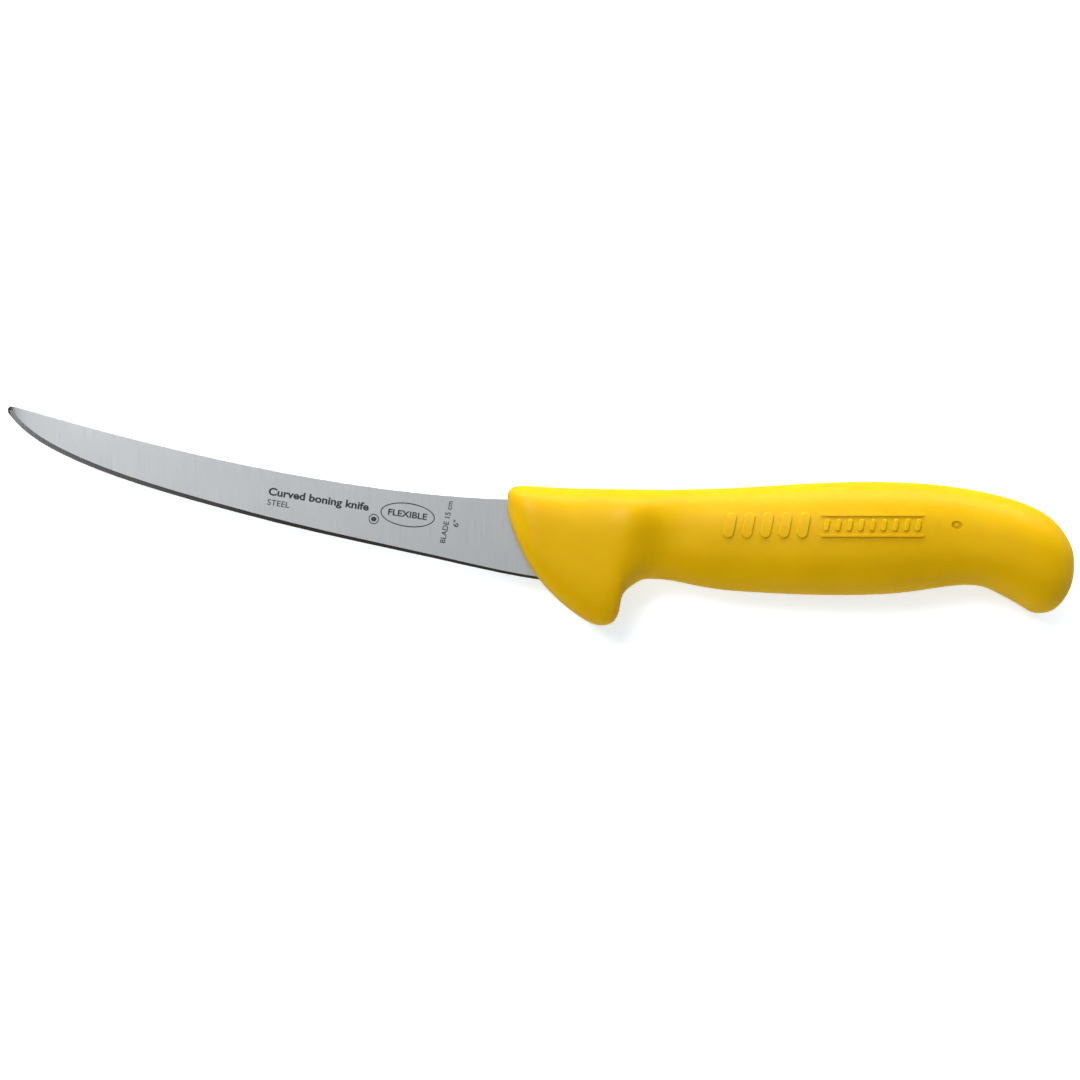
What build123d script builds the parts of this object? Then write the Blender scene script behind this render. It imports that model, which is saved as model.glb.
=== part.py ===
"""Curved boning knife: a flexible taper-ground steel blade with a hidden tang, and the
one-piece plastic handle that is moulded over the tang.

The knife lies on its side. X runs along its length with the tip at -X, Y across the
blade with the spine at +Y, and Z is up, through the thickness. Lengths are millimetres.

It is drawn about a design origin: X = 0 at the front of the handle's nose, Y = 0 on the
grip's centre line, Z = 0 on the plane of symmetry. The last section moves both pieces
so that the origin lies under the middle of the knife, on the surface that it rests on.
"""

import os
from math import cos, hypot, pi

from build123d import *

# ------------------------------------------------------------ blade: outline from the side
blade_reach = 134.9        # nose of the handle to the tip, along X
spine_at_nose = 10.35      # the spine's height where it enters the handle
spine_rise_third = 4.5     # how far the spine has climbed a third of the way out,
spine_rise_two_thirds = 13.5   # two thirds of the way out
tip_rise = 25.15           # and at the tip
depth_at_nose = 20.4       # blade depth, spine to edge, at the same places
depth_sixth = 17.0
depth_third = 15.1
depth_two_thirds = 12.5
point_length = 15.0        # where the edge starts to sweep up to the point
depth_at_point = 9.4
nib_length = 3.3           # and where it turns up to the blunted tip
depth_at_nib = 5.15
tip_radius = 1.35          # the blunted safety tip, and its short straight front
tip_flat = 0.6
heel_cover = 12.0          # how far the full-depth blade runs on inside the handle
heel_drop = 1.9            # and how far its edge falls on the way

# ------------------------------------------------------------ blade: thickness and bevel
stock_thickness = 1.8      # the sheet: the tang, and the spine at the heel
tip_thickness = 0.9        # the spine at the tip, after the distal taper
edge_thickness = 0.55      # what the taper grind leaves above the cutting bevel
edge_land = 0.08           # width of the cutting edge itself
bevel_at_heel = 0.75       # width of the cutting bevel, seen from the side
bevel_at_tip = 1.35
spine_chamfer = 0.2        # broken corners of the spine

# ------------------------------------------------------------ tang, hidden in the handle
tang_height = 12.0
tang_axis_height = 1.0     # the tang's centre line above the grip's centre line
tang_heel = 4.0            # length of the full-thickness step behind the ground faces
tang_end_cover = 34.0      # plastic behind the tang's end
tang_end_radius = 2.5
tang_step_height = 2.5     # how far the step behind the ground faces stands out of the tang
tang_step_radius = 2.0     # in the corner between the two
tang_hole_diameter = 5.0   # the plastic flows through these and keys the tang
tang_hole_count = 3
tang_hole_spacing = 27.0
tang_end_margin = 12.0     # last hole's centre to the tang's end

# ------------------------------------------------------------ handle: outline from the side
handle_length = 152.75
nose_low = 7.0             # the blunt front of the nose, bottom and top
nose_high = 11.6
nose_rise = 13.87          # the back, just behind the nose
nose_rise_x = 3.9
waist_rise = 12.87         # the back above the finger notch
crown_rise = 14.97         # highest point of the back
crown_place = 0.69         # where it is, as a share of the grip from notch to notch
butt_end_height = -7.2     # height of the rearmost point
guard_tip_x = 25.2         # lowest point of the finger guard
guard_drop = 23.85
guard_back_x = 30.35       # the guard's rear face
finger_notch_x = 38.8      # highest point of the notch behind the guard
finger_notch_drop = 11.3
belly_drop = 15.68         # fullest part of the grip
belly_place = 0.57         # where it is, as a share of the grip from notch to notch
butt_notch_setback = 28.25     # the notch ahead of the butt hook, from the rear end
butt_notch_drop = 12.95
hook_setback = 8.85        # lowest point of the butt hook, from the rear end
hook_drop = 20.5

# ------------------------------------------------------------ handle: widths, through Z
nose_width = 4.2
guard_width = 21.6
guard_full_x = 9.0         # where the nose has swelled to the guard's width
guard_flat_end = 30.5      # where the guard's flat flanks end
notch_width = 15.8
valley_end = 43.0          # and where the flanks have sunk to the width of the notch
valley_lean = 0.20         # the valley between them leans: width gained for each mm of height
swell_width = 22.0
waist_width = 20.6
butt_width = 21.6
guard_ridge_height = -2.9  # the guard's widest line, which runs on along the grip
ridge_drop = 1.5           # and lies this far below the middle of the grip
guard_fullness = 0.80      # flatness of the flanks above the widest line: 0.55 is an oval,
guard_low_fullness = 1.00  # and below it, where 1 is close to a box
grip_fullness = 0.55       # both, along the grip
edge_fullness = 0.70       # flatness of the back and the belly

# ------------------------------------------------------------ handle: moulded detail
mark_relief = 0.4          # height of the raised ornament
mark_edge = 0.22           # chamfer round it
mark_rise = 4.8            # its centre line above the handle's widest line
gate_setback = 32.75       # shallow recess round the injection point, from the rear end
gate_length = 2.9
gate_height = 2.2
gate_depth = 0.7           # below the handle's widest line
gate_nub_diameter = 1.0    # the stub of the sprue, half as high as the recess is deep
rail_margin = 8.8          # from the recess to two rails, with small bars between them
rail_length = 27.5
rail_spacing = 5.5
rail_width = 0.75
small_bar_count = 9
small_bar_height = 3.4
small_bar_width = 1.4
bar_margin = 4.6           # from the rails to a row of bold bars
bar_count = 5
bar_pitch = 4.9
bar_height = 7.0
bar_width = 2.9
bar_lean = 12.0            # degrees

# ------------------------------------------------------------ shared helpers
SEARCH_STEPS = 40
SLOPE_STEP = 0.01
NEAR = 0.1                 # an edge this near to a place is the one that lies there
TIP_CAP = 0.03             # the blade's first section is this far from the very tip
REAR_CAP = 0.008           # and the handle's last one this far from its very end
VALLEY_EASE = 4.0          # the valley's lean sets in this far before it and ends as far after
MOST_BEVEL = 0.6           # the bevel takes no more than this share of the blade's depth,
MOST_CHAMFER = 0.2         # and the spine's broken corners no more than this


def height_at(edges, x):
    """Height at x of a chain of edges, each of which runs steadily along X."""
    for edge in edges:
        start, stop = 0.0, 1.0
        first, last = (edge @ start).X, (edge @ stop).X
        if not min(first, last) <= x <= max(first, last):
            continue
        for _ in range(SEARCH_STEPS):
            middle = (start + stop) / 2
            if ((edge @ middle).X < x) == (last > first):
                start = middle
            else:
                stop = middle
        return (edge @ start).Y
    raise ValueError(f"no edge of the chain passes x = {x}")


def crowded(start, stop, count):
    """count + 1 places from start to stop, ever closer together towards start."""
    return [start + (stop - start) * (1 - cos(pi / 2 * i / count)) for i in range(count + 1)]


def even(start, stop, count):
    """count + 1 places from start to stop, evenly spaced."""
    return [start + (stop - start) * i / count for i in range(count + 1)]


def blend(value_a, value_b, x_a, x_b, x):
    """A value that eases from value_a at x_a to value_b at x_b, and is level outside."""
    share = min(max((x - x_a) / (x_b - x_a), 0), 1)
    return value_a + (value_b - value_a) * share * share * (3 - 2 * share)


# ------------------------------------------------------------ blade outline
third = blade_reach / 3
tip_x = -blade_reach
tip_top = (tip_x + tip_radius, spine_at_nose + tip_rise)
tip_front = (tip_x, tip_top[1] - tip_radius)
tip_middle = (tip_x + tip_radius * (1 - cos(pi / 4)), tip_top[1] - tip_radius * (1 - cos(pi / 4)))
spine_third = spine_at_nose + spine_rise_third
spine_two_thirds = spine_at_nose + spine_rise_two_thirds
point_x = tip_x + point_length

with BuildLine() as spine:
    Spline(
        (heel_cover, spine_at_nose - 0.1),
        (0, spine_at_nose),
        (-third, spine_third),
        (-2 * third, spine_two_thirds),
        tip_top,
    )
    ThreePointArc(tip_top, tip_middle, tip_front)

nib_x = tip_x + nib_length
edge_at_nose = spine_at_nose - depth_at_nose

with BuildLine() as cutting_edge:
    Spline(
        (heel_cover, edge_at_nose - heel_drop),
        (0, edge_at_nose),
        (-third / 2, height_at(spine.edges(), -third / 2) - depth_sixth),
        (-third, spine_third - depth_third),
        (-2 * third, spine_two_thirds - depth_two_thirds),
        (point_x, height_at(spine.edges(), point_x) - depth_at_point),
        (nib_x, height_at(spine.edges(), nib_x) - depth_at_nib),
        (tip_x, tip_front[1] - tip_flat),
    )


def blade_section(x):
    """Half of the blade's section at x, from the spine down to the edge: (height, z)."""
    top = height_at(spine.edges(), x)
    bottom = height_at(cutting_edge.edges(), x)
    reach = min(max(-x / blade_reach, 0), 1)
    spine_half = (stock_thickness + (tip_thickness - stock_thickness) * reach) / 2
    above = height_at(cutting_edge.edges(), x + SLOPE_STEP)
    slope = (bottom - above) / SLOPE_STEP
    bevel = bevel_at_heel + (bevel_at_tip - bevel_at_heel) * reach
    bevel_rise = min(bevel * hypot(1, slope), MOST_BEVEL * (top - bottom))
    return [
        (top, spine_half - spine_chamfer),
        (top - min(spine_chamfer, MOST_CHAMFER * (top - bottom)), spine_half),
        (bottom + bevel_rise, edge_thickness / 2),
        (bottom, edge_land / 2),
    ]


# ------------------------------------------------------------ blade and tang, one sheet of steel
blade_end = tip_x + TIP_CAP
# The sections crowd together where the blade is blunt.
blade_stations = (
    crowded(blade_end, point_x, 9)
    + even(point_x, 0, 6)[1:]
    + [heel_cover - SLOPE_STEP]
)
tang_length = handle_length - tang_end_cover
hole_middle = tang_length - tang_end_margin - tang_hole_spacing * (tang_hole_count - 1) / 2

with BuildPart() as blade:
    for x in blade_stations:
        half = blade_section(x)
        with BuildSketch(Plane.YZ.offset(x)):
            with BuildLine():
                Polyline(*half, *[(height, -z) for height, z in reversed(half)], close=True)
            make_face()
    loft()

    with BuildSketch(Plane.XY):
        with Locations(((heel_cover - tang_heel + tang_length) / 2, tang_axis_height)):
            Rectangle(tang_length - heel_cover + tang_heel, tang_height)
        fillet(vertices().group_by(Axis.X)[-1], tang_end_radius)
        with Locations((heel_cover - tang_heel / 2, tang_axis_height)):
            Rectangle(tang_heel, tang_height + 2 * tang_step_height)
    extrude(amount=stock_thickness / 2, both=True)
    fillet(
        edges().filter_by(Axis.Z).filter_by_position(Axis.X, heel_cover - NEAR, heel_cover + NEAR)
        .filter_by_position(Axis.Y, tang_axis_height - tang_height / 2 - NEAR,
                            tang_axis_height + tang_height / 2 + NEAR),
        tang_step_radius,
    )
    with Locations((hole_middle, tang_axis_height, stock_thickness / 2)):
        with GridLocations(tang_hole_spacing, 0, tang_hole_count, 1):
            Hole(tang_hole_diameter / 2)

# ------------------------------------------------------------ handle outlines
butt_end = (handle_length, butt_end_height)
butt_notch_x = handle_length - butt_notch_setback
hook_x = handle_length - hook_setback


def along_grip(share):
    """x at a share of the way from the finger notch to the butt notch."""
    return finger_notch_x + (butt_notch_x - finger_notch_x) * share


crown_x = along_grip(crown_place)
belly_x = along_grip(belly_place)

with BuildLine() as back:
    Spline(
        (0, nose_high),
        (nose_rise_x, nose_rise),
        tangents=[(0.15, 1), (1, 0)],
    )
    Spline(
        (nose_rise_x, nose_rise),
        (13.5, nose_rise - 0.5),
        (23.0, nose_rise - 0.75),
        (along_grip(0.07), waist_rise),
        (along_grip(0.345), (waist_rise + crown_rise) / 2 - 0.2),
        (crown_x, crown_rise),
        tangents=[(1, 0), (1, 0)],
    )
    Spline(
        (crown_x, crown_rise),
        (handle_length - 21.9, 11.64),
        (handle_length - 11.1, 8.15),
        (handle_length - 4.65, 3.75),
        (handle_length - 1.4, -0.95),
        butt_end,
        tangents=[(1, 0), (0, -1)],
    )

with BuildLine() as underside:
    Spline(
        (0, nose_low),
        (1.75, 1.1),
        (6.1, -8.0),
        (11.5, -14.8),
        (18.2, -20.6),
        (22.3, -23.2),
        (guard_tip_x, -guard_drop),
        tangents=[(0.15, -1), (1, 0)],
    )
    Spline(
        (guard_tip_x, -guard_drop),
        (guard_back_x - 1.3, -guard_drop + 1.55),
        (guard_back_x, -guard_drop + 6.1),
        tangents=[(1, 0), (0.33, 1)],
    )
    Spline(
        (guard_back_x, -guard_drop + 6.1),
        (guard_back_x + 1.35, -finger_notch_drop - 3.4),
        (guard_back_x + 2.75, -finger_notch_drop - 2.15),
        (guard_back_x + 5.4, -finger_notch_drop - 0.5),
        (finger_notch_x, -finger_notch_drop),
        tangents=[(0.33, 1), (1, 0)],
    )
    Spline(
        (finger_notch_x, -finger_notch_drop),
        (along_grip(0.155), -13.41),
        (along_grip(0.295), -14.75),
        (belly_x, -belly_drop),
        (along_grip(0.845), -14.46),
        (butt_notch_x, -butt_notch_drop),
        tangents=[(1, 0), (1, 0)],
    )
    Spline(
        (butt_notch_x, -butt_notch_drop),
        (butt_notch_x + 4.1, -13.5),
        (butt_notch_x + 8.5, -15.5),
        (hook_x - 4.4, -19.2),
        (hook_x, -hook_drop),
        tangents=[(1, 0), (1, 0)],
    )
    Spline(
        (hook_x, -hook_drop),
        (handle_length - 3.55, -17.9),
        butt_end,
        tangents=[(1, 0), (0, 1)],
    )

with BuildLine() as flank:
    Spline(
        (0, nose_width / 2),
        (guard_full_x, guard_width / 2),
        tangents=[(0.1, 1), (1, 0)],
    )
    Line((guard_full_x, guard_width / 2), (guard_flat_end, guard_width / 2))
    Spline(
        (guard_flat_end, guard_width / 2),
        (valley_end, notch_width / 2),
        tangents=[(1, 0), (1, 0)],
    )
    Spline(
        (valley_end, notch_width / 2),
        (belly_x + 5, swell_width / 2),
        tangents=[(1, 0), (1, 0)],
    )
    Spline(
        (belly_x + 5, swell_width / 2),
        (butt_notch_x - 2, waist_width / 2),
        tangents=[(1, 0), (1, 0)],
    )
    Spline(
        (butt_notch_x - 2, waist_width / 2),
        (hook_x - 5, butt_width / 2),
        tangents=[(1, 0), (1, 0)],
    )
    Spline(
        (hook_x - 5, butt_width / 2),
        (handle_length, 0),
        tangents=[(1, 0), (0, -1)],
    )


def middle_point(x, drop=0):
    """The point half way between the back and the underside at x, or drop lower."""
    return (x, (height_at(back.edges(), x) + height_at(underside.edges(), x)) / 2 - drop)


with BuildLine() as ridge:
    Spline(
        middle_point(0),
        middle_point(nose_rise_x),
        middle_point(guard_full_x),
        (guard_tip_x, guard_ridge_height),
        middle_point(valley_end, ridge_drop),
        middle_point(belly_x, ridge_drop),
        middle_point(butt_notch_x, ridge_drop),
        middle_point(hook_x - 4.4),
        middle_point(hook_x + 3.0),
        butt_end,
    )


def handle_section(x, relief):
    """Oval across the handle at x, on whose flanks relief is added: four quarter curves."""
    widest = height_at(ridge.edges(), x)
    half_width = height_at(flank.edges(), x) + relief
    halves = (
        (height_at(back.edges(), x) - widest, guard_fullness),
        (height_at(underside.edges(), x) - widest, guard_low_fullness),
    )
    valley_x = (guard_flat_end + valley_end) / 2
    lean = valley_lean * (
        blend(0, 1, guard_flat_end - VALLEY_EASE, valley_x, x)
        - blend(0, 1, valley_x, valley_end + VALLEY_EASE, x)
    )
    with BuildSketch(Plane.YZ.offset(x)) as section:
        with BuildLine():
            for rise, full in halves:
                flat = rise * blend(full, grip_fullness, guard_tip_x, valley_end, x)
                for side in (1, -1):
                    Bezier(
                        (widest + rise, 0),
                        (widest + rise, side * edge_fullness * (half_width + lean * rise)),
                        (widest + flat, side * (half_width + lean * flat)),
                        (widest + flat / 2, side * (half_width + lean * flat / 2)),
                        (widest, side * half_width),
                    )
        make_face()
    return section.sketch


# The sections crowd together at the two blunt ends, and are close round the guard's rear.
handle_stations = (
    crowded(0, guard_tip_x, 10)
    + even(guard_tip_x, finger_notch_x, 10)[1:]
    + even(finger_notch_x, butt_notch_x, 9)[1:]
    + crowded(handle_length - REAR_CAP, butt_notch_x, 12)[-2::-1]
)

# ------------------------------------------------------------ handle, moulded round the tang
gate_x = handle_length - gate_setback
gate_surface = height_at(flank.edges(), gate_x)
rails_x = gate_x - rail_margin - rail_length / 2
mark_axis_height = height_at(ridge.edges(), rails_x) + mark_rise
bars_x = rails_x - rail_length / 2 - bar_margin - bar_pitch * (bar_count - 1) / 2

# The handle grown by the relief. What a mark's prism shares with it follows the flank.
with BuildPart() as grown_body:
    loft([handle_section(x, mark_relief) for x in handle_stations])

with BuildPart() as bars:
    with BuildSketch(Plane.XY):
        with Locations((bars_x, mark_axis_height)):
            with GridLocations(bar_pitch, 0, bar_count, 1):
                SlotOverall(bar_height, bar_width, rotation=90 - bar_lean)
        with Locations((rails_x, mark_axis_height)):
            with GridLocations(rail_length / small_bar_count, 0, small_bar_count, 1):
                SlotOverall(small_bar_height, small_bar_width, rotation=90 - bar_lean)
    extrude(amount=guard_width)  # more than reaches the surface
    add(grown_body.part, mode=Mode.INTERSECT)
    chamfer([bar.faces().sort_by(Axis.Z)[-1].edges() for bar in solids()], mark_edge)

with BuildPart() as rails:
    with BuildSketch(Plane.XY):
        with Locations((rails_x, mark_axis_height)):
            with GridLocations(0, rail_spacing, 1, 2):
                SlotOverall(rail_length, rail_width)
    extrude(amount=guard_width)
    add(grown_body.part, mode=Mode.INTERSECT)

with BuildPart() as handle:
    loft([handle_section(x, 0) for x in handle_stations])
    add(bars.part)
    add(rails.part)
    with BuildSketch(Plane.XY.offset(gate_surface + gate_depth)):
        with Locations((gate_x, mark_axis_height)):
            Ellipse(gate_length / 2, gate_height / 2)
    extrude(amount=-2 * gate_depth, mode=Mode.SUBTRACT)
    with BuildSketch(Plane.XY.offset(gate_surface - 2 * gate_depth)):
        with Locations((gate_x, mark_axis_height)):
            Circle(gate_nub_diameter / 2)
    extrude(amount=1.5 * gate_depth)
    add(blade.part, mode=Mode.SUBTRACT)

# ------------------------------------------------------------ place and write
whole = blade.part.bounding_box().add(handle.part.bounding_box())
origin = Vector(whole.center().X, whole.center().Y, whole.min.Z)

for piece in (blade, handle):
    piece.part.move(Location(-origin))

blade.part.label = "blade"
handle.part.label = "handle"

os.makedirs("parts", exist_ok=True)
export_step(blade.part, "parts/blade.step")
export_step(handle.part, "parts/handle.step")

print("origin of the row in the design's own frame", origin)
for piece in (blade, handle):
    print(piece.part.label, "volume", round(piece.part.volume), piece.part.bounding_box().size)
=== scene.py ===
"""Looks for the boning knife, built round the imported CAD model. Blender 4.5, metres."""

import math

import bpy
from mathutils import Matrix, Vector


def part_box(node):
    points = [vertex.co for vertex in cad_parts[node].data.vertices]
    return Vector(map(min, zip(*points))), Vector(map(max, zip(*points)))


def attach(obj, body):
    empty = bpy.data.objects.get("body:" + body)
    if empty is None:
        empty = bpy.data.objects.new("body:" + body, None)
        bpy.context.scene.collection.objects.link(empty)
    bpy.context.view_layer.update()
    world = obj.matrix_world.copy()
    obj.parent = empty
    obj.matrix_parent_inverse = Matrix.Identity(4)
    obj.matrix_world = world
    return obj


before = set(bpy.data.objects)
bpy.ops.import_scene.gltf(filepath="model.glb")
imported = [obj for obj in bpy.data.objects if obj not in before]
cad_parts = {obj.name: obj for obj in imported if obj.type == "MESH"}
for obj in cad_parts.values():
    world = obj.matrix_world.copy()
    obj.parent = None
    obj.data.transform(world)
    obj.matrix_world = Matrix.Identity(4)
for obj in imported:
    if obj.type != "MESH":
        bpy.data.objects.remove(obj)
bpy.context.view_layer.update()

MM = 0.001
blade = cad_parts["blade"]
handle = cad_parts["handle"]
blade_low, blade_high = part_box("blade")
handle_low, handle_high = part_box("handle")
nose_x = handle_low[0]                              # the front of the handle's nose
crown_y = handle_high[1]                            # the highest point of the handle's back
middle_z = (handle_low[2] + handle_high[2]) / 2     # half way up the handle as it lies

# ------------------------------------------------------------ sizes, in millimetres
GRAIN_SIZE = 0.45          # the plastic's moulded grain
GRAIN_DEPTH = 0.03
MOTTLE_SIZE = 14           # patches of slightly different yellow
GLOSS_PATCH_SIZE = 5       # and of slightly different gloss
SCUFF_SIZE = 1.1           # spacing of faint scuffs,
SCUFF_STRETCH = 9          # which are this many times as long as they are wide
PARTING_HALF_WIDTH = 0.09  # the mould's parting line, round the handle's outline
PARTING_HEIGHT = 0.03
SCATTER_DEPTH = 3.0        # how far light spreads inside the plastic
GRIND_SIZE = 0.16          # spacing of the grind lines, which run across the blade
GRIND_RUN = 9.0            # their length,
GRIND_SPREAD = 6           # how many times their spacing they last through the thickness,
GRIND_DEPTH = 0.004        # and their depth
CLOUD_SIZE = 22            # patches of slightly different steel
SPECK_SIZE = 0.25          # uneven black of the etched marks
ETCH_THICKNESS = 0.012     # the dark etched marks stand this little above the steel

# ------------------------------------------------------------ colours, linear RGBA
YELLOW_DEEP = (0.485, 0.290, 0.0, 1)
YELLOW_PALE = (0.515, 0.311, 0.0, 1)
SCUFF_COLOUR = (0.72, 0.55, 0.16, 1)
SCATTER_RADII = (1.0, 0.35, 0.05)     # red light spreads furthest in the plastic
STEEL_DARK = (0.395, 0.418, 0.441, 1)
STEEL_LIGHT = (0.415, 0.439, 0.462, 1)
# painted glint: the grind lines are real, but their lighter colour stands in for light caught
# along them
GRIND_PAINTED_GLINT = (0.56, 0.58, 0.60, 1)
# painted shade: the dark that the cutting bevel shows by facing dark surroundings, put into its
# colour
BEVEL_PAINTED_SHADE = (0.150, 0.132, 0.115, 1)
ETCH_DARK = (0.016, 0.018, 0.022, 1)
ETCH_LIGHT = (0.036, 0.040, 0.046, 1)
PAPER_WHITE = (0.93, 0.93, 0.93, 1)
PAPER_GLOW = (0.73, 0.86, 1.0, 1)
SURROUNDINGS = (1.0, 0.93, 0.85, 1)

# ------------------------------------------------------------ gloss and strengths
PLASTIC_ROUGHNESS = (0.37, 0.45)
PLASTIC_SPECULAR = 0.10
SCATTER_SHARE = 0.5
SCUFF_CRESTS = (0.66, 0.74)     # only the highest crests of the noise become scuffs
SCUFF_STRENGTH = 0.10
SCUFF_ROUGHNESS = 0.08
GRAIN_STRENGTH = 0.35
PARTING_STRENGTH = 0.6
STEEL_ROUGHNESS = (0.27, 0.33)
GRIND_SHARE = 0.22              # how far a grind line is lightened by the painted glint
GRIND_STRENGTH = 0.25
BEVEL_TILT = (-0.22, -0.12)     # Y of the surface's normal: on the bevel, and on the blade's side
BEVEL_POLISH = -0.10            # the bevel is this much smoother than the side
ETCH_ROUGHNESS = (0.55, 0.75)
ETCH_SPECULAR = 0.12
PAPER_ROUGHNESS = 0.9
PAPER_GLOW_STRENGTH = 0.60
SURROUNDINGS_STRENGTH = 0.22


# ------------------------------------------------------------ node helpers
def new_material(name):
    """A node material and its principled shader."""
    material = bpy.data.materials.new(name)
    material.use_nodes = True
    return material, material.node_tree.nodes["Principled BSDF"]


def assign(piece, material):
    piece.data.materials.clear()
    piece.data.materials.append(material)


def fill(material, node, values):
    """Fills a node's sockets, by name or number, with outputs to link or with numbers to set."""
    for key, value in values.items():
        if isinstance(value, bpy.types.NodeSocket):
            material.node_tree.links.new(value, node.inputs[key])
        else:
            node.inputs[key].default_value = value


def add_node(material, kind, inputs, **settings):
    """A node with its settings made and its sockets filled."""
    node = material.node_tree.nodes.new(kind)
    for key, value in settings.items():
        setattr(node, key, value)
    fill(material, node, inputs)
    return node


def coordinates(material, kind):
    return add_node(material, "ShaderNodeTexCoord", {}).outputs[kind]


def component(material, vector, axis):
    return add_node(material, "ShaderNodeSeparateXYZ", {0: vector}).outputs[axis]


def noise(material, size, detail=2.0, stretch=(1, 1, 1)):
    """Noise in the object's own space, about size millimetres from crest to crest."""
    scale = tuple(1 / (size * MM * times) for times in stretch)
    place = {"Vector": coordinates(material, "Object"), "Scale": scale}
    scaled = add_node(material, "ShaderNodeMapping", place).outputs[0]
    inputs = {"Vector": scaled, "Scale": 1.0, "Detail": detail, "Roughness": 0.55}
    return add_node(material, "ShaderNodeTexNoise", inputs).outputs[0]


def spread(material, value, low, high, from_low=0.3, from_high=0.7):
    """value, brought from one range to another. The first is where most noise lies."""
    inputs = {"Value": value, "From Min": from_low, "From Max": from_high}
    inputs.update({"To Min": low, "To Max": high})
    return add_node(material, "ShaderNodeMapRange", inputs).outputs["Result"]


def mix_colour(material, share, colour_a, colour_b):
    """colour_a where share is 0, and colour_b where it is 1."""
    inputs = {0: share, 6: colour_a, 7: colour_b}
    return add_node(material, "ShaderNodeMix", inputs, data_type="RGBA").outputs[2]


def calculate(material, operation, *values):
    inputs = dict(enumerate(values))
    return add_node(material, "ShaderNodeMath", inputs, operation=operation).outputs[0]


def bump(material, height, distance, strength, normal=None):
    """Surface detail from a height of 0 to 1, which stands for distance millimetres."""
    inputs = {"Height": height, "Distance": distance * MM, "Strength": strength}
    if normal is not None:
        inputs["Normal"] = normal
    return add_node(material, "ShaderNodeBump", inputs).outputs["Normal"]


# ------------------------------------------------------------ yellow moulded plastic
def moulded_plastic():
    """Satin yellow with a fine grain, faint scuffs and the mould's parting line."""
    material, shader = new_material("yellow_plastic")
    mottle = spread(material, noise(material, MOTTLE_SIZE, detail=3.0), 0, 1)
    colour = mix_colour(material, mottle, YELLOW_DEEP, YELLOW_PALE)
    streaks = noise(material, SCUFF_SIZE, detail=4.0, stretch=(SCUFF_STRETCH, 1, SCUFF_STRETCH))
    scuffs = spread(material, streaks, 0, 1, *SCUFF_CRESTS)
    scuffed = calculate(material, "MULTIPLY", scuffs, SCUFF_STRENGTH)
    roughness = spread(material, noise(material, GLOSS_PATCH_SIZE, detail=4.0), *PLASTIC_ROUGHNESS)

    height = component(material, coordinates(material, "Object"), "Z")
    above_middle = calculate(material, "SUBTRACT", height, middle_z)
    off_middle = calculate(material, "ABSOLUTE", above_middle)
    parting = spread(material, off_middle, 1, 0, 0.0, PARTING_HALF_WIDTH * MM)
    grain = noise(material, GRAIN_SIZE, detail=3.0)
    grained = bump(material, grain, GRAIN_DEPTH, GRAIN_STRENGTH)
    fill(material, shader, {
        "Base Color": mix_colour(material, scuffed, colour, SCUFF_COLOUR),
        "Roughness": calculate(material, "MULTIPLY_ADD", scuffs, SCUFF_ROUGHNESS, roughness),
        "Specular IOR Level": PLASTIC_SPECULAR,
        "Subsurface Weight": SCATTER_SHARE,
        "Subsurface Radius": SCATTER_RADII,
        "Subsurface Scale": SCATTER_DEPTH * MM,
        "Normal": bump(material, parting, PARTING_HEIGHT, PARTING_STRENGTH, grained),
    })
    return material


# ------------------------------------------------------------ ground steel
def ground_steel():
    """Satin steel with grind lines lightened by a painted glint, and a smoother cutting bevel
    darkened by painted shade.
    """
    material, shader = new_material("ground_steel")
    stretch = (1, GRIND_RUN / GRIND_SIZE, GRIND_SPREAD)
    lines = noise(material, GRIND_SIZE, detail=3.0, stretch=stretch)
    clouds = spread(material, noise(material, CLOUD_SIZE), 0, 1)
    colour = mix_colour(material, clouds, STEEL_DARK, STEEL_LIGHT)
    # painted glint along the grind lines; their bump and roughness are real
    glints = spread(material, lines, 0, GRIND_SHARE)
    colour = mix_colour(material, glints, colour, GRIND_PAINTED_GLINT)
    # painted shade: where the normal turns downwards, on the cutting bevel, the colour is darkened
    across = component(material, coordinates(material, "Normal"), "Y")
    bevel = spread(material, across, 1, 0, *BEVEL_TILT)
    roughness = spread(material, lines, *STEEL_ROUGHNESS)
    fill(material, shader, {
        "Base Color": mix_colour(material, bevel, colour, BEVEL_PAINTED_SHADE),
        "Roughness": calculate(material, "MULTIPLY_ADD", bevel, BEVEL_POLISH, roughness),
        "Metallic": 1.0,
        "Normal": bump(material, lines, GRIND_DEPTH, GRIND_STRENGTH),
    })
    return material


def etched_black():
    """The slightly uneven black of marks etched into steel."""
    material, shader = new_material("etched_black")
    speck = noise(material, SPECK_SIZE)
    fill(material, shader, {
        "Base Color": mix_colour(material, spread(material, speck, 0, 1), ETCH_DARK, ETCH_LIGHT),
        "Roughness": spread(material, speck, *ETCH_ROUGHNESS),
        "Specular IOR Level": ETCH_SPECULAR,
    })
    return material


assign(handle, moulded_plastic())
assign(blade, ground_steel())
etch = etched_black()


# ------------------------------------------------------------ etched marks on the blade
START_ABOVE = 0.01         # metres above the blade, from where a ray is sent down to it
CAP_SHARE = 0.73           # height of a capital letter, as a share of the font's size
CURVE_STEPS = 6            # in each curve of a letter
OVAL_STEPS = 48


def on_blade(x, y):
    """Height of the blade's upper side, x and y being metres in the row's frame."""
    above = Vector((x, y, blade_high[2] + START_ABOVE))
    hit, place, _, _ = blade.ray_cast(above, Vector((0, 0, -1)))
    if not hit:
        raise ValueError(f"a mark hangs over the blade's edge at {x:.4f}, {y:.4f}")
    return place.z


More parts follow.
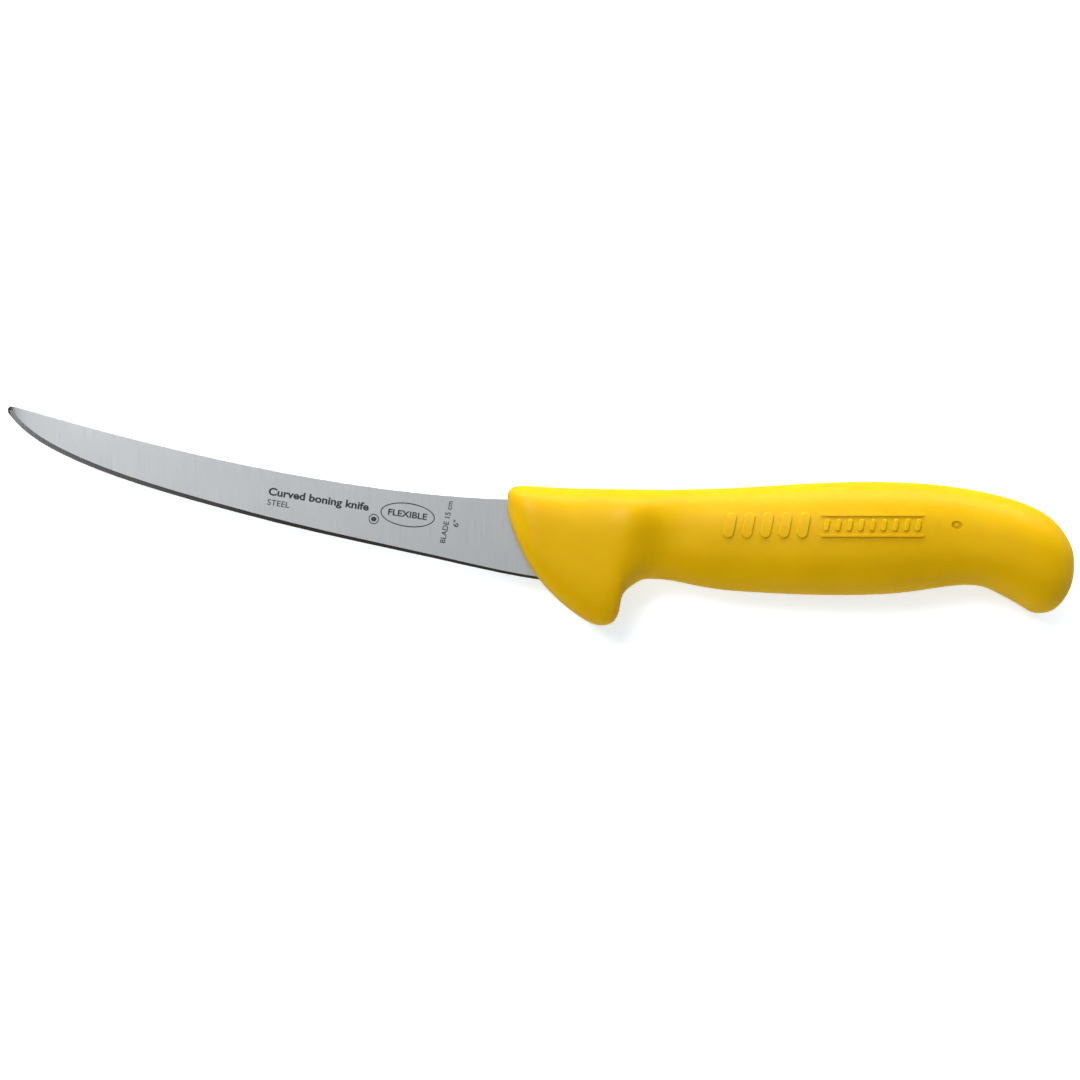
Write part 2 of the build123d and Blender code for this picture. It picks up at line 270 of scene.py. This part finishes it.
def lay_mark(name, mesh, from_nose, below_crown, angle):
    """A flat mesh in millimetres, turned by angle degrees, laid on the blade as a thin skin.

    Its origin lies from_nose along X from the front of the handle, negative being towards
    the tip, and below_crown under the highest point of the handle's back.
    """
    turn = Matrix.Rotation(math.radians(angle), 4, "Z")
    start = Vector((nose_x + from_nose * MM, crown_y - below_crown * MM, 0))
    for vertex in mesh.vertices:
        flat = turn @ (vertex.co * MM) + start
        top = ETCH_THICKNESS * MM if vertex.co.z > 0 else 0
        vertex.co = (flat.x, flat.y, on_blade(flat.x, flat.y) + top)
    piece = bpy.data.objects.new(name, mesh)
    bpy.context.scene.collection.objects.link(piece)
    assign(piece, etch)
    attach(piece, "root")


def lettering(name, words, cap_height, length, from_nose, below_crown, angle, weight):
    """Plain generic words or sizes, length long, placed by the left end of their base line.

    weight is how far each letter's outline is moved outwards, to make it bolder.
    """
    curve = bpy.data.curves.new(name, "FONT")
    curve.body = words
    curve.size = cap_height / CAP_SHARE
    curve.offset = weight
    curve.extrude = 0.5
    curve.resolution_u = CURVE_STEPS
    text = bpy.data.objects.new(name, curve)
    mesh = bpy.data.meshes.new_from_object(text)
    bpy.data.objects.remove(text)
    first = min(vertex.co.x for vertex in mesh.vertices)
    last = max(vertex.co.x for vertex in mesh.vertices)
    for vertex in mesh.vertices:
        vertex.co.x = (vertex.co.x - first) * length / (last - first)
    lay_mark(name, mesh, from_nose, below_crown, angle)


def oval(width, height):
    """Points round an oval."""
    turns = [2 * math.pi * i / OVAL_STEPS for i in range(OVAL_STEPS)]
    return [(width / 2 * math.cos(t), height / 2 * math.sin(t)) for t in turns]


def band(outer, inner):
    """A closed flat mesh between two rings of points, one millimetre thick."""
    count = len(outer)
    points = [(x, y, z) for z in (-0.5, 0.5) for ring in (outer, inner) for x, y in ring]
    low_out, low_in, top_out, top_in = 0, count, 2 * count, 3 * count
    faces = []
    for i in range(count):
        j = (i + 1) % count
        faces += [
            (low_out + i, low_in + i, low_in + j, low_out + j),
            (top_out + i, top_out + j, top_in + j, top_in + i),
            (low_out + i, low_out + j, top_out + j, top_out + i),
            (low_in + i, top_in + i, top_in + j, low_in + j),
        ]
    mesh = bpy.data.meshes.new("band")
    mesh.from_pydata(points, [], faces)
    return mesh


lettering("mark_name", "Curved boning knife", cap_height=2.05, length=27.4,
          from_nose=-64.6, below_crown=3.5, angle=-9.1, weight=0.09)
lettering("mark_steel", "STEEL", cap_height=1.6, length=6.0,
          from_nose=-64.9, below_crown=6.2, angle=-9.1, weight=0.02)
lay_mark("mark_ring", band(oval(2.8, 2.8), oval(2.3, 2.3)),
         from_nose=-36.1, below_crown=10.1, angle=0)
lay_mark("mark_dot", band(oval(1.5, 1.3), oval(0.1, 0.1)),
         from_nose=-36.1, below_crown=10.1, angle=0)
lay_mark("mark_oval", band(oval(14.8, 6.5), oval(14.2, 5.9)),
         from_nose=-26.95, below_crown=9.0, angle=-8)
lettering("mark_flex", "FLEXIBLE", cap_height=1.7, length=10.6,
          from_nose=-32.3, below_crown=8.9, angle=-8, weight=0.06)
lettering("mark_size", "BLADE 15 cm", cap_height=1.5, length=11.5,
          from_nose=-16.9, below_crown=16.7, angle=79, weight=0.03)
lettering("mark_inches", '6"', cap_height=1.5, length=1.9,
          from_nose=-13.4, below_crown=12.4, angle=79, weight=0.03)

# ------------------------------------------------------------ floor, light, camera
FLOOR_HALF = 3.0           # metres
VIEW_WIDTH = 0.2916        # the picture's width, at the height of the handle's middle
VIEW_CENTRE_Y = -0.0066
LENS = 100                 # millimetres
SENSOR = 36

floor_mesh = bpy.data.meshes.new("floor")
floor_mesh.from_pydata(
    [(-FLOOR_HALF, -FLOOR_HALF, 0), (FLOOR_HALF, -FLOOR_HALF, 0),
     (FLOOR_HALF, FLOOR_HALF, 0), (-FLOOR_HALF, FLOOR_HALF, 0)],
    [], [(0, 1, 2, 3)],
)
floor = bpy.data.objects.new("floor", floor_mesh)
bpy.context.scene.collection.objects.link(floor)
paper, paper_shader = new_material("white_paper")
fill(paper, paper_shader, {
    "Base Color": PAPER_WHITE,
    "Roughness": PAPER_ROUGHNESS,
    "Specular IOR Level": 0.0,
    "Emission Color": PAPER_GLOW,
    "Emission Strength": PAPER_GLOW_STRENGTH,
})
assign(floor, paper)
floor.visible_glossy = False          # or its reflection would bleach the handle's lower edges


def softbox(name, place, size_x, size_y, power):
    """A rectangular lamp, in metres and watts, that looks at the knife."""
    data = bpy.data.lights.new(name, "AREA")
    data.shape = "RECTANGLE"
    data.size = size_x
    data.size_y = size_y
    data.energy = power
    lamp = bpy.data.objects.new(name, data)
    bpy.context.scene.collection.objects.link(lamp)
    lamp.location = place
    lamp.rotation_euler = (-Vector(place)).to_track_quat("-Z", "Y").to_euler()
    return lamp


softbox("key", (-0.50, 0.75, 1.25), size_x=0.8, size_y=0.8, power=25)
softbox("ceiling", (-0.25, 0.45, 1.85), size_x=1.7, size_y=1.7, power=7)
softbox("rim", (0.0, 0.95, 0.22), size_x=1.6, size_y=0.34, power=19)
front = softbox("front", (0.0, -1.0, 0.08), size_x=1.6, size_y=0.16, power=5.5)
front.visible_glossy = False

world = bpy.data.worlds.new("studio")
world.use_nodes = True
fill(world, world.node_tree.nodes["Background"],
     {"Color": SURROUNDINGS, "Strength": SURROUNDINGS_STRENGTH})
bpy.context.scene.world = world

camera_data = bpy.data.cameras.new("camera")
camera_data.lens = LENS
camera_data.sensor_width = SENSOR
camera = bpy.data.objects.new("camera", camera_data)
camera.location = (0.0, VIEW_CENTRE_Y, middle_z + VIEW_WIDTH * LENS / SENSOR)
bpy.context.scene.collection.objects.link(camera)
bpy.context.scene.camera = camera
bpy.context.scene.view_settings.view_transform = "Standard"
